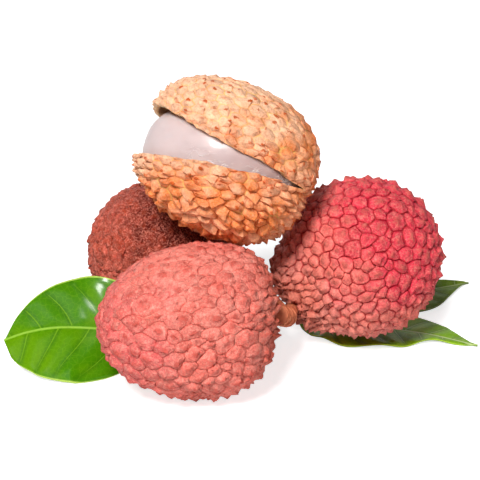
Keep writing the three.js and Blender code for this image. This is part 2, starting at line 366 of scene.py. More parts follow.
def spiralDirections(tree, given, index, spacing):
    # an even spiral of directions, denser towards the stem, each a little astray
    share = over(plus(index, 0.5), given["Tubercles"])
    even = calc("ARCCOSINE", timesPlus(share, -2.0, 1.0))
    crowd = plus(given["Crowding"], 1.0)
    fromStem = times(calc("POWER", over(even, math.pi), crowd), math.pi)
    goldenTurn = math.pi * (1 + math.sqrt(5))
    turn = times(index, goldenTurn)
    ring = calc("SINE", fromStem)
    parts = (times(ring, calc("COSINE", turn)), times(ring, calc("SINE", turn)))
    values = {0: parts[0], 1: parts[1], 2: calc("COSINE", fromStem)}
    spiral = addNode(tree, "ShaderNodeCombineXYZ", values).outputs[0]
    stray = scaled(seededVector(given["Seed"], index), times(spacing, given["Jitter"]))
    strayed = vectorCalc("NORMALIZE", moved(spiral, stray))
    toStem = addNode(
        tree, "FunctionNodeAlignRotationToVector", {"Vector": given["Stem"]}, axis="Z"
    ).outputs[0]
    turning = {"Vector": strayed, "Rotation": toStem}
    return addNode(tree, "FunctionNodeRotateVector", turning).outputs[0]


def raisedCells(tree, given, cells, index, spacing):
    # raises the middle of each cell in three steps: a ledge, a crown and a point
    seed = given["Seed"]
    cells = storeValue(cells, "cell", seededNumber(seed, index, 0.0, 1.0), domain="FACE")
    cells = storeValue(cells, "sway", seededVector(seed, index), "FLOAT_VECTOR", "FACE")
    width = calc("SQRT", addNode(tree, "GeometryNodeInputMeshFaceArea").outputs[0])
    strength = calc("MINIMUM", over(width, times(spacing, 0.95)), 1.0)
    strength = times(strength, seededNumber(7, index, 0.62, 1.0))
    cells = storeValue(cells, "strength", strength, domain="FACE")
    cells = storeValue(cells, "rise", 0.0)
    cells = storeValue(cells, "profile", 0.0)
    sway = scaled(readValue(tree, "sway", "FLOAT_VECTOR"), times(spacing, given["Sway"]))
    centre = moved(placeOf(tree), sway)
    # each step has its width, its height and the profile that the colours read
    steps = (
        (given["Ledge Inset"], given["Ledge Rise"], 0.35),
        (given["Crown Inset"], given["Crown Rise"], 0.7),
        (given["Point Inset"], 1.0, 1.0),
    )
    top = None
    for inset, rise, profile in steps:
        raised = addNode(tree, "GeometryNodeExtrudeMesh", {"Mesh": cells, "Offset Scale": 0.0})
        if top is not None:
            link(raised.inputs["Selection"], top)
        top = raised.outputs["Top"]
        values = {"Geometry": raised.outputs[0], "Selection": top}
        values.update({"Scale": inset, "Center": centre})
        narrowed = addNode(tree, "GeometryNodeScaleElements", values).outputs[0]
        height = times(readValue(tree, "strength"), rise)
        cells = storeValue(narrowed, "rise", height, chosen=top)
        cells = storeValue(cells, "profile", profile, chosen=top)
    return addNode(tree, "GeometryNodeSubdivideMesh", {"Mesh": cells, "Level": 1}).outputs[0]


swellSpan = (0.72, 0.97)  # how close to its side a swelling starts and is full
thinSpan = (-0.05, 0.7)  # where the wall starts to thin on its way up the lid, and is thinnest
reliefSpan = (-0.5, 0.5)
foldSpan = (0.08, 0.3)  # the folds by the stem, as a share of the way to the far end


def skinTree(body):
    # cells on a sphere, one to a tubercle, raised in steps and carried onto the fruit's form
    steps = ("Ledge Inset", "Ledge Rise", "Crown Inset", "Crown Rise", "Point Inset")
    roughness = ("Relief", "Sway", "Warp", "Grain", "Calm", "Stem Folds", "Swell")
    sides = ("Rough Side", "Swell Side", "Blush Side", "Thin Side")
    tree, given, result = newTree(
        "tubercledSkin",
        "GeometryNodeTree",
        {
            "Vector": (*bodyVectors, "Stretch", *sides),
            "Float": (*bodyNumbers, "Crowding", "Jitter", *steps, *roughness, "Wall", "Thinning"),
            "Int": ("Tubercles", "Seed"),
            "Bool": ("Smooth",),
            "Material": ("Material",),
        },
        {"Geometry": ("Geometry",)},
    )
    count = given["Tubercles"]
    index = addNode(tree, "GeometryNodeInputIndex").outputs[0]
    spacing = calc("SQRT", over(4 * math.pi, count))
    directions = spiralDirections(tree, given, index, spacing)
    values = {"Count": count, "Position": directions}
    points = addNode(tree, "GeometryNodePoints", values).outputs[0]
    hull = addNode(tree, "GeometryNodeConvexHull", {0: points}).outputs[0]
    cells = addNode(tree, "GeometryNodeDualMesh", {0: hull}).outputs[0]
    cells = placed(cells, vectorCalc("NORMALIZE", placeOf(tree)))
    finer = raisedCells(tree, given, cells, index, spacing)
    # the outlines of the cells wander a little
    place = placeOf(tree)
    wander = cloudy(place, 13.0, 3.0, output="Color")
    wander = scaled(vectorCalc("SUBTRACT", wander, (0.5, 0.5, 0.5)), given["Warp"])
    stretched = vectorCalc("SUBTRACT", given["Stretch"], (1.0, 1.0, 1.0))
    wander = moved(scaled(place, stretched), wander)
    skin = placed(finer, vectorCalc("NORMALIZE", moved(placeOf(tree), wander)))
    outward = placeOf(tree)
    fromStem = over(calc("ARCCOSINE", dot(outward, given["Stem"])), math.pi)
    skin = storeValue(skin, "fromStem", fromStem)
    # how far each point faces the flush side, which on the back fruit places painted shade
    skin = storeValue(skin, "painted_shade_and_blush", dot(outward, given["Blush Side"]))
    # the wall thins out on one side, and the relief with it
    thin = ramp(dot(outward, given["Thin Side"]), *thinSpan)
    wall = minus(given["Wall"], times(thin, given["Thinning"]))
    bodySizes = {name: given[name] for name in bodyInputs}
    inner = useGroup(tree, body, {"Direction": outward, "Depth": wall, **bodySizes})[0]
    skin = storeValue(skin, "lining", inner, "FLOAT_VECTOR")
    # the relief is full on the rough side and lower on the calm one
    share = ramp(dot(outward, given["Rough Side"]), *reliefSpan, given["Calm"], 1.0)
    share = plus(share, times(ramp(fromStem, *foldSpan, 1.0, 0.0), given["Stem Folds"]))
    share = times(share, over(wall, given["Wall"]))
    sunk = times(minus(1.0, readValue(tree, "rise")), share)
    grain = times(minus(0.75, cloudy(outward, 21.0, 3.0, 0.7)), given["Grain"])
    depth = timesPlus(sunk, given["Relief"], grain)
    swell = times(ramp(dot(outward, given["Swell Side"]), *swellSpan), given["Swell"])
    depth = minus(depth, swell)
    outer = useGroup(tree, body, {"Direction": outward, "Depth": depth, **bodySizes})[0]
    link(result[0], finished(placed(skin, outer), given["Material"], given["Smooth"]))
    return tree


lycheeBody = bodyShapeTree()
tubercledSkin = skinTree(lycheeBody)
print("skin tree made")


def fruitTurn(fruit):
    # columns: across, height, length of the fruit
    along = Vector(fruit["long"]).normalized()
    level = Vector((0, 0, 1)).cross(along).normalized()
    across = Matrix.Rotation(math.radians(fruit["roll"]), 3, along) @ level
    return Matrix((across, along.cross(across), along)).transposed()


def fruitPlace(fruit):
    turn = fruitTurn(fruit).to_4x4()
    return Matrix.Translation(bunchOrigin + Vector(fruit["centre"]) * mm) @ turn


def inFruit(fruit, direction):
    return fruitTurn(fruit).transposed() @ Vector(direction).normalized()


def bodyValues(fruit):
    return {
        "Half": Vector(fruit["half"]) * mm,
        "Fullness": fruit["fullness"],
        "Shoulders": fruit["shoulders"],
        "Stem": inFruit(fruit, fruit["stem"]),
        "Dimple Depth": stemDimple["depth"] * mm,
        "Dimple Spread": stemDimple["spread"],
    }


usualSkin = {"Stretch": (1.0, 1.0, 1.0), "Stem Folds": 0.0, "Swell": 0.0, "Smooth": True}


def growSkin(name, fruit, material, wall=2.3, thinning=0.0):
    sides = {side: inFruit(fruit, direction) for side, direction in fruit["sides"].items()}
    values = {
        **bodyValues(fruit),
        **usualSkin,
        **fruit["skin"],
        **sides,
        "Wall": wall * mm,
        "Thin Side": (0, 1, 0),  # where the lid is
        "Thinning": thinning * mm,
        "Material": material,
    }
    return grow(name, tubercledSkin, values)


# the colours of a peel, shared by the four fruits

peelClouds = {  # how fine each cloud of the peel is; more is finer
    "grain": 2600.0,
    "patches": 760.0,
    "wrinkles": 520.0,
    "paleSeams": 190.0,
    "brokenGrooves": 150.0,
    "scratches": 1100.0,
    "dust": 1200.0,
    "stemEnd": 260.0,
}


def peelColourTree():
    # profile runs from 0 in a groove to 1 at the tip of a tubercle; the flush side, painted shade on
    # the back fruit, runs from -1 to 1 across
    skinValues = ("Profile", "Cell", "From Stem", "Blushing")
    tones = ("Ground", "Second", "Painted Shade And Blush", "Tip", "Dust", "Stem End")
    seams = ("Groove", "Blush Groove", "Pale Seam")
    painted_shade_and_blush = ("Blush From", "Blush To")
    grooves = ("Grooves", "Groove Width", "Broken Grooves", "Pale Seams")
    marks = ("Tip Start", "Tip Spread", "Tips", "Scratches", "Dustiness", "Wrinkles")
    rest = ("Stem Reach", "Painted Pit Shade", "Mottle", "Speckle")
    tree, given, result = newTree(
        "peelColours",
        "ShaderNodeTree",
        {
            "Vector": ("Place",),
            "Float": (*skinValues, *painted_shade_and_blush, *grooves, *marks, *rest),
            "Color": (*tones, *seams),
        },
        {"Color": ("Colour",), "Float": ("Height",)},
    )
    profile = given["Profile"]
    broad = cloudy(given["Place"], given["Mottle"])

    def cloud(name, detail=2.0, roughness=0.5):
        return cloudy(given["Place"], peelClouds[name], detail, roughness)

    tone = mixColour(ramp(broad, 0.38, 0.62), given["Ground"], given["Second"])
    # a flush of colour spreads from one side; on the back fruit it is painted shade, the shadow of
    # the opened fruit above
    across = timesPlus(minus(broad, 0.5), 1.6, given["Blushing"])
    paintedShadeAndFlush = ramp(across, given["Blush From"], given["Blush To"])
    tone = mixColour(paintedShadeAndFlush, tone, given["Painted Shade And Blush"])
    # each tubercle is a touch lighter or darker than its neighbours
    tone = scaled(tone, ramp(given["Cell"], 0.0, 1.0, 0.88, 1.1, "LINEAR"))
    fine = ramp(cloud("grain", 3.0, 0.75), 0.25, 0.75)
    rough = ramp(cloud("patches", 4.0, 0.65), 0.3, 0.7)
    # fine wrinkles run through the skin
    wrinkle = ramp(absolute(minus(cloud("wrinkles", 4.0, 0.6), 0.5)), 0.0, 0.05, 1.0, 0.0)
    # grooves between the tubercles, dark in places and pale in others
    width = given["Groove Width"]
    groove = ramp(profile, times(width, 0.3), width, 1.0, 0.0)
    paleHere = times(ramp(cloud("paleSeams"), 0.5, 0.58), given["Pale Seams"])
    seam = mixColour(paintedShadeAndFlush, given["Groove"], given["Blush Groove"])
    seam = mixColour(paleHere, seam, given["Pale Seam"])
    lost = times(ramp(cloud("brokenGrooves", 3.0), 0.45, 0.56), given["Broken Grooves"])
    groove = times(groove, minus(1.0, lost))
    # pale scratches cross the skin
    lines = absolute(minus(cloud("scratches", 2.0, 0.8), 0.5))
    scratch = times(ramp(lines, 0.01, 0.05, 1.0, 0.0), given["Scratches"])
    tone = mixColour(scratch, tone, given["Dust"])
    tone = mixColour(times(wrinkle, given["Wrinkles"]), tone, given["Groove"])
    # pale dust on the raised parts
    dusty = times(ramp(cloud("dust", 4.0, 0.7), 0.5, 0.72), given["Dustiness"])
    tone = mixColour(times(dusty, ramp(profile, 0.2, 0.6)), tone, given["Dust"])
    tone = mixColour(times(groove, given["Grooves"]), tone, seam)
    # brown tips, on some tubercles more than on others
    wavering = timesPlus(minus(rough, 0.5), 0.22, profile)
    tipEnd = plus(given["Tip Start"], given["Tip Spread"])
    tip = ramp(wavering, given["Tip Start"], tipEnd)
    tipHere = ramp(calc("FRACT", times(given["Cell"], 7.31)), 0.0, 0.8, 0.35, 1.0)
    tone = mixColour(times(tip, times(tipHere, given["Tips"])), tone, given["Tip"])
    # brown towards the stem
    edge = timesPlus(cloud("stemEnd"), 0.2, given["From Stem"])
    reach = given["Stem Reach"]
    stemEnd = times(ramp(edge, times(reach, 0.4), reach, 1.0, 0.0), 0.85)
    stained = times(stemEnd, ramp(rough, 0.2, 0.8, 0.5, 1.0))
    tone = mixColour(stained, tone, given["Stem End"])
    # painted shade: the folds beside the stem are darkened nearly to black, as the shade in their
    # hollows
    pitShadeColour = scaled(given["Stem End"], (0.16, 0.1, 0.08))
    pitShadeMask = ramp(timesPlus(rough, 0.5, profile), 0.3, 0.7, 1.0, 0.0)
    tone = mixColour(times(times(pitShadeMask, stemEnd), given["Painted Pit Shade"]), tone, pitShadeColour)
    grainShade = timesPlus(minus(fine, 0.5), given["Speckle"], 1.0)
    patchShade = timesPlus(minus(rough, 0.5), given["Speckle"], 1.0)
    link(result["Colour"], scaled(tone, times(grainShade, patchShade)))
    height = timesPlus(fine, 0.5, times(rough, 1.1))
    link(result["Height"], timesPlus(wrinkle, times(given["Wrinkles"], -1.2), height))
    return tree


peelColours = peelColourTree()
peelFinish = {"roughness": 0.6, "specular": 0.15, "bump": 0.75, "bumpDepth": 0.2 * mm}


def peelMaterial(name, look, finish):
    made, tree, shader = surface(
        name, finish["roughness"], Specular_IOR_Level=finish["specular"]
    )
    values = {
        "Profile": attributeOf(tree, "profile"),
        "Cell": attributeOf(tree, "cell"),
        "From Stem": attributeOf(tree, "fromStem"),
        "Blushing": attributeOf(tree, "painted_shade_and_blush"),
        "Place": ownPlace(tree),
        **look,
    }
    looks = useGroup(tree, peelColours, values)
    link(shader.inputs["Base Color"], looks["Colour"])
    bumpBy(shader, looks["Height"], finish["bump"], finish["bumpDepth"])
    return made


# the whole fruits: centre and half in mm, the sides as directions

frontFruit = {
    "centre": (-9.95, -40.7, 15.1),
    "long": (0.97, 0.234, -0.01),
    "stem": (0.97, 0.234, -0.01),
    "half": (15.4, 15.9, 18.9),
    "fullness": 2.14,
    "shoulders": 0.136,
    "roll": 0,
    "sides": {
        "Rough Side": (0.55, -0.6, -0.75),
        "Swell Side": (0.87, 0.19, 0.46),
        "Blush Side": (-0.8, -0.3, -0.1),
    },
    "skin": {
        "Tubercles": 430,
        "Seed": 11,
        "Crowding": 0.4,
        "Jitter": 0.5,
        "Relief": 1.35 * mm,
        "Ledge Inset": 0.93,
        "Ledge Rise": 0.3,
        "Crown Inset": 0.58,
        "Crown Rise": 0.48,
        "Point Inset": 0.2,
        "Sway": 0.22,
        "Warp": 0.12,
        "Grain": 1.0 * mm,
        "Calm": 0.62,
        "Stem Folds": 0.9,
        "Swell": 1.0 * mm,
    },
    "look": {
        "Ground": colour(234, 115, 101),
        "Second": colour(244, 137, 122),
        "Painted Shade And Blush": colour(228, 102, 98),
        "Groove": colour(180, 64, 52),
        "Pale Seam": colour(252, 180, 160),
        "Tip": colour(194, 74, 62),
        "Dust": colour(252, 180, 162),
        "Stem End": colour(160, 74, 42),
        "Blush From": 0.1,
        "Blush To": 1.1,
        "Grooves": 0.6,
        "Groove Width": 0.3,
        "Pale Seams": 0.9,
        "Blush Groove": colour(188, 62, 52),
        "Broken Grooves": 0.85,
        "Tip Spread": 0.26,
        "Scratches": 0.4,
        # painted shade in the hollows by the stem
        "Painted Pit Shade": 0.9,
        "Tip Start": 0.72,
        "Tips": 0.75,
        "Dustiness": 0.5,
        "Stem Reach": 0.46,
        "Mottle": 160.0,
        "Speckle": 0.26,
        "Wrinkles": 0.3,
    },
}
rightFruit = {
    "centre": (24.9, -15.8, 18.3),
    "long": (-0.66, -0.626, -0.41),
    "stem": (-0.78, -0.42, -0.46),
    "half": (18.4, 17.7, 18.6),
    "fullness": 2.0,
    "shoulders": 0.02,
    "roll": 0,
    "sides": {
        "Rough Side": (0.2, -0.5, -0.8),
        "Swell Side": (-0.86, -0.2, -0.46),
        "Blush Side": (0.55, -0.3, 0.6),
    },
    "skin": {
        "Tubercles": 480,
        "Seed": 5,
        "Crowding": 0.3,
        "Jitter": 0.42,
        "Relief": 1.85 * mm,
        "Ledge Inset": 0.92,
        "Ledge Rise": 0.35,
        "Crown Inset": 0.6,
        "Crown Rise": 0.5,
        "Point Inset": 0.1,
        "Sway": 0.16,
        "Warp": 0.09,
        "Grain": 1.0 * mm,
        "Calm": 0.85,
        "Stem Folds": 0.3,
        "Swell": 2.6 * mm,
    },
    "look": {
        "Ground": colour(242, 132, 116),
        "Second": colour(250, 156, 140),
        "Painted Shade And Blush": colour(234, 62, 82),
        "Groove": colour(178, 38, 40),
        "Pale Seam": colour(214, 90, 82),
        "Tip": colour(190, 96, 82),
        "Dust": colour(244, 166, 146),
        "Stem End": colour(206, 118, 96),
        "Blush From": -0.35,
        "Blush To": 0.75,
        "Grooves": 0.9,
        "Groove Width": 0.55,
        "Pale Seams": 0.3,
        "Blush Groove": colour(176, 6, 40),
        "Broken Grooves": 0.2,
        "Tip Spread": 0.34,
        "Scratches": 0.3,
        # painted shade in the hollows by the stem
        "Painted Pit Shade": 0.5,
        "Tip Start": 0.66,
        "Tips": 0.75,
        "Dustiness": 0.5,
        "Stem Reach": 0.34,
        "Mottle": 110.0,
        "Speckle": 0.36,
        "Wrinkles": 0.2,
    },
}
backFruit = {
    "centre": (-17.587, -6.5, 15.5),
    "long": (0.97, -0.02, -0.22),
    "stem": (0.97, -0.02, -0.22),
    "half": (16.4, 16.2, 16.5),
    "fullness": 2.06,
    "shoulders": 0.02,
    "roll": 0,
    "sides": {
        "Rough Side": (-0.4, -0.4, -0.8),
        "Swell Side": (0, 0, 1),
        # towards the opened fruit above; the flush on this side is painted shade, that fruit's
        # shadow
        "Blush Side": (0.7, -0.2, 0.3),
    },
    "skin": {
        "Tubercles": 620,
        "Seed": 23,
        "Crowding": 0.14,
        "Jitter": 0.5,
        "Relief": 0.9 * mm,
        "Ledge Inset": 0.93,
        "Ledge Rise": 0.2,
        "Crown Inset": 0.6,
        "Crown Rise": 0.5,
        "Point Inset": 0.25,
        "Sway": 0.3,
        "Warp": 0.12,
        "Grain": 1.2 * mm,
        "Calm": 0.6,
    },
    "look": {
        "Ground": colour(182, 74, 54),
        "Second": colour(200, 92, 76),
        # painted shadow: the flush colour darkens the side under the opened fruit nearly to black
        "Painted Shade And Blush": colour(92, 16, 2),
        "Groove": colour(124, 38, 14),
        "Pale Seam": colour(206, 116, 90),
        "Tip": colour(146, 52, 24),
        "Dust": colour(222, 130, 110),
        "Stem End": colour(150, 70, 38),
        "Blush From": -0.3,
        "Blush To": 0.6,
        "Grooves": 0.7,
        "Groove Width": 0.3,
        "Pale Seams": 0.5,
        # painted shadow: the grooves on that side are darkened almost to black
        "Blush Groove": colour(56, 6, 0),
        "Broken Grooves": 0.7,
        "Tip Spread": 0.14,
        "Scratches": 0.75,
        "Painted Pit Shade": 0.0,
        "Tip Start": 0.78,
        "Tips": 0.5,
        "Dustiness": 0.4,
        "Stem Reach": 0.45,
        "Mottle": 180.0,
        "Speckle": 0.4,
        "Wrinkles": 0.45,
    },
}

toolAttributes = ("lining", "sway", "strength", "rise")  # used while growing, not by a material


def dropToolAttributes(mesh):
    for name in toolAttributes:
        if name in mesh.attributes:
            mesh.attributes.remove(mesh.attributes[name])


def wholeLychee(node, name, fruit, slot):
    piece = growSkin(name, fruit, peelMaterial(slot, fruit["look"], peelFinish))
    piece.data.transform(fruitTurn(fruit).to_4x4())
    settle(piece.data, node, pressed=True)
    dropToolAttributes(piece.data)
    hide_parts(node)
    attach(piece, "root")


wholeLychee("lychee_front", "frontLychee", frontFruit, "peel_pink")
wholeLychee("lychee_right", "rightLychee", rightFruit, "peel_crimson")
wholeLychee("lychee_back", "backLychee", backFruit, "peel_brownish_red")
print("whole fruits made")

# the opened fruit

openedFruit = {
    "centre": (-3.7, -23.0, 41.1),
    "long": (0.947, -0.023, -0.344),
    "stem": (0.75, 0.61, -0.25),
    "half": (16.6, 14.65, 19.1),
    "fullness": 2.14,
    "shoulders": 0.13,
    "roll": -22.5,
    "sides": {
        "Rough Side": (-0.2, -0.55, -0.8),
        "Swell Side": (0, 0, 1),
        "Blush Side": (-0.5, -0.1, 0.85),
    },
    "skin": {
        "Tubercles": 620,
        "Seed": 3,
        "Crowding": 0.14,
        "Jitter": 0.3,
        "Relief": 1.8 * mm,
        "Ledge Inset": 0.9,
        "Ledge Rise": 0.1,
        "Crown Inset": 0.62,
        "Crown Rise": 0.5,
        "Point Inset": 0.16,
        "Sway": 0.4,
        "Warp": 0.05,
        "Grain": 0.3 * mm,
        "Calm": 0.62,
        "Stretch": (1.0, 0.8, 1.0),
        "Smooth": False,
    },
    "look": {
        "Ground": colour(238, 136, 72),
        "Second": colour(250, 178, 134),
        "Painted Shade And Blush": colour(252, 198, 160),
        "Groove": colour(172, 70, 8),
        "Pale Seam": colour(246, 204, 118),
        "Tip": colour(190, 84, 34),
        "Dust": colour(252, 200, 168),
        "Stem End": colour(220, 108, 52),
        "Blush From": 0.0,
        "Blush To": 0.7,
        "Grooves": 0.75,
        "Groove Width": 0.45,
        "Pale Seams": 0.75,
        "Blush Groove": colour(242, 178, 106),
        "Broken Grooves": 0.65,
        "Tip Spread": 0.12,
        "Scratches": 0.2,
        "Painted Pit Shade": 0.0,
        "Tip Start": 0.86,
        "Tips": 1.0,
        "Dustiness": 0.35,
        "Stem Reach": 0.5,
        "Mottle": 150.0,
        "Speckle": 0.26,
        "Wrinkles": 0.25,
    },
}
peelSplit = {
    "hingeAlong": 16.5 * mm,  # the line across the fruit that the lid turns about
    "dip": 5.3,
    "lean": 5.1,
    "opening": 13.8,
    "liftFrom": 22.5 * mm,  # where the lid's edge stands clear of the cup's, and how steeply
    "lift": 0.22,
    "waves": 0.35 * mm,  # how far the torn edge wanders, and how closely
    "waveScale": 160.0,
    "wallDepth": 2.3,
    "thinning": 1.0,  # how much thinner the lid's wall is
}
weld = 0.01 * mm  # points closer than this become one


def splitFrame(split):
    # X along the hinge, Y towards the lid, Z from the hinge to the far end of the fruit
    alongSplit = Matrix.Rotation(math.radians(-split["dip"]), 3, "X") @ Vector((0, 0, -1))
    hinge = Matrix.Rotation(math.radians(split["lean"]), 3, alongSplit) @ Vector((-1, 0, 0))
    turn = Matrix((hinge, alongSplit.cross(hinge), alongSplit)).transposed().to_4x4()
    turn.translation = (0, 0, split["hingeAlong"])
    return turn


def tornEdge(split, point):
    seed = Vector((point.x, 0, point.z)) * split["waveScale"]
    return split["waves"] * (noise.noise(seed) + 0.5 * noise.noise(seed * 2.7))


def bendOpen(split, point, onLid):
    full = 2 * math.pi
    angle = math.atan2(point.y, point.z) % full
    if onLid and angle > 0.75 * full:
        angle -= full
    if not onLid and angle < 0.25 * full:
        angle += full
    share = min(1.0, max(0.0, (angle - 0.25 * full) / (0.5 * full)))
    share = 1 - share * share * (3 - 2 * share)
    angle += math.radians(split["opening"]) * share
    radius = math.hypot(point.y, point.z)
    return Vector((point.x, radius * math.sin(angle), radius * math.cos(angle)))


def trimLid(build, split):
    # cuts the far end of the lid back along a plane that rises from the split
    rising = Vector((0, 1, -split["lift"])).normalized()
    corner = Vector((0, 0, split["liftFrom"]))
    lid = [face for face in build.faces if face.calc_center_median().y > 0]
    everything = {*lid, *(edge for face in lid for edge in face.edges)}
    everything |= {vert for face in lid for vert in face.verts}
    bmesh.ops.bisect_plane(
        build, geom=list(everything), dist=weld, plane_co=corner, plane_no=rising
    )

    def isCutAway(middle):
        beyond = middle.y > 0 and middle.z > split["liftFrom"]
        return beyond and (middle - corner).dot(rising) < 0

    below = [face for face in build.faces if isCutAway(face.calc_center_median())]
    bmesh.ops.delete(build, geom=below, context="FACES")


def outlineOf(faces):
    # the ring of vertices round a tubercle's faces, or nothing where the ring meets itself
    sides = [(loop.vert, loop.link_loop_next.vert) for face in faces for loop in face.loops]
    within = set(sides)
    outer = [side for side in sides if side[::-1] not in within]
    ahead = dict(outer)
    ring = [outer[0][0]]
    while ahead[ring[-1]] is not ring[0] and len(ring) < len(outer):
        ring.append(ahead[ring[-1]])
    return ring if len(ring) == len(ahead) == len(outer) else None


def splitPeel(mesh, split, rim, lined):
    toSplit = splitFrame(split).inverted()
    build = bmesh.new()
    build.from_mesh(mesh)
    lining = build.verts.layers.float_vector["lining"]
    for vert in build.verts:
        vert.co = toSplit @ vert.co
        vert.co.y += tornEdge(split, vert.co)
        vert[lining] = toSplit @ vert[lining]
    everything = build.verts[:] + build.edges[:] + build.faces[:]
    bmesh.ops.bisect_plane(
        build, geom=everything, dist=weld, plane_co=(0, 0, 0), plane_no=(0, 1, 0)
    )
    torn = [
        edge
        for edge in build.edges
        if all(abs(vert.co.y) < 2 * weld and vert.co.z > 0 for vert in edge.verts)
        and {face.calc_center_median().y > 0 for face in edge.link_faces} == {True, False}
    ]
    bmesh.ops.split_edges(build, edges=torn)
    trimLid(build, split)
    onLid = {
        vert: sum(face.calc_center_median().y for face in vert.link_faces) > 0
        for vert in build.verts
    }
    for vert in build.verts:
        vert.co.y -= tornEdge(split, vert.co)
    # the smooth inside of the peel, joined to the outside along the torn edge
    mesh.materials.append(rim)
    mesh.materials.append(lined)
    outside = build.faces[:]
    rims = [edge for edge in build.edges if edge.is_boundary]
    inner = {}
    for vert in build.verts[:]:
        made = build.verts.new(bendOpen(split, vert[lining], onLid[vert]))
        made[lining] = vert[lining]
        inner[vert] = made
        vert.co = bendOpen(split, vert.co, onLid[vert])
    for edge in rims:
        loop = edge.link_loops[0]
        first, second = loop.vert, loop.link_loop_next.vert
        face = build.faces.new((second, first, inner[first], inner[second]))
        face.material_index = 1
        face.smooth = True
    cell = build.faces.layers.float["cell"]
    tubercles = {}
    for face in outside:
        tubercles.setdefault((face[cell], onLid[face.verts[0]]), []).append(face)
    for faces in tubercles.values():
        ring = outlineOf(faces)
        for verts in [face.verts for face in faces] if ring is None else [ring]:
            made = build.faces.new([inner[vert] for vert in reversed(verts)])
            made.material_index = 2
            made.smooth = True
    loose = [vert for vert in build.verts if not vert.link_faces]
    bmesh.ops.delete(build, geom=loose, context="VERTS")
    build.transform(splitFrame(split))
    build.to_mesh(mesh)
    build.free()


def spottedMaterial(name, roughness, spots, span, first, second, **settings):
    # a plain finish with soft spots of a second colour; spots gives their fineness and detail
    made, tree, shader = surface(name, roughness, **settings)
    share = cloudy(ownPlace(tree), *spots)
    link(shader.inputs["Base Color"], mixColour(ramp(share, *span), first, second))
    return made, shader, share


def rimMaterial():
    tones = (colour(238, 196, 138), colour(226, 160, 98))
    depths = {"Subsurface_Weight": 0.15, "Subsurface_Radius": (0.0012, 0.0006, 0.0003)}
    return spottedMaterial("peelRim", 0.5, (700.0, 3.0), (0.35, 0.65), *tones, **depths)[0]


def liningMaterial():
    tones = (colour(226, 172, 122), colour(240, 198, 152))
    made, shader, share = spottedMaterial("peelLining", 0.45, (300.0, 4.0), (0.3, 0.7), *tones)
    bumpBy(shader, share, 0.3, 0.1 * mm)
    return made


def openedPeel(node, fruit, split):
    material = peelMaterial("peel_tan", fruit["look"], peelFinish)
    piece = growSkin("openedPeel", fruit, material, split["wallDepth"], split["thinning"])
    splitPeel(piece.data, split, rimMaterial(), liningMaterial())
    piece.data.transform(fruitPlace(fruit))
    dropToolAttributes(piece.data)
    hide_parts(node)
    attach(piece, "root")


openedPeel("opened_peel", openedFruit, peelSplit)
print("opened peel made")

# the flesh

fleshForm = {
    "gap": 0.32,  # mm from the inside of the peel
    "crinkle": 0.07 * mm,
    "fineness": 6,
    "farEnd": colour(198, 179, 178),
    "hingeEnd": colour(146, 108, 102),
    "fade": (-11 * mm, 12 * mm),  # where the one runs into the other, from the flesh's middle
    "cloud": colour(222, 200, 197),
    # painted highlight: this near-white is laid along the folds of the film, as wet glints
    "creaseAndPaintedGlint": colour(246, 236, 234),
    "rimAbove": 4.7,  # mm from the middle of the flesh up to the cup's rim
    "rimSlope": 0.29,
    # the band is also where the painted glints lie
    "bandEnds": (1.5 * mm, 3.5 * mm),  # how far the creases reach above the rim
    "bandFrom": (-8 * mm, -4 * mm),  # and where they start, from the flesh's middle
}


def fleshTree(body):
    tree, given, result = newTree(
        "fleshBody",
        "GeometryNodeTree",
        {
            "Vector": bodyVectors,
            "Float": (*bodyNumbers, "Depth", "Fuller", "Crinkle"),
            "Int": ("Fineness",),
            "Material": ("Material",),
        },
        {"Geometry": ("Geometry",)},
    )
    values = {"Radius": 1.0, "Subdivisions": given["Fineness"]}
    ball = addNode(tree, "GeometryNodeMeshIcoSphere", values).outputs[0]
    outward = vectorCalc("NORMALIZE", placeOf(tree))
    ridge = absolute(minus(cloudy(outward, 5.0, 4.0, distortion=0.8), 0.5))
    crinkle = given["Crinkle"]
    depth = timesPlus(calc("MINIMUM", ridge, 0.15), times(crinkle, -6.0), crinkle)
    # fuller on the side that lies under the lid
    height = addNode(tree, "ShaderNodeSeparateXYZ", {0: outward}).outputs[1]
    fuller = times(ramp(height, *thinSpan), given["Fuller"])
    depth = plus(depth, minus(given["Depth"], fuller))
    bodySizes = {name: given[name] for name in bodyInputs}
    skin = useGroup(tree, body, {"Direction": outward, "Depth": depth, **bodySizes})[0]
    link(result[0], finished(placed(ball, skin), given["Material"]))
    return tree


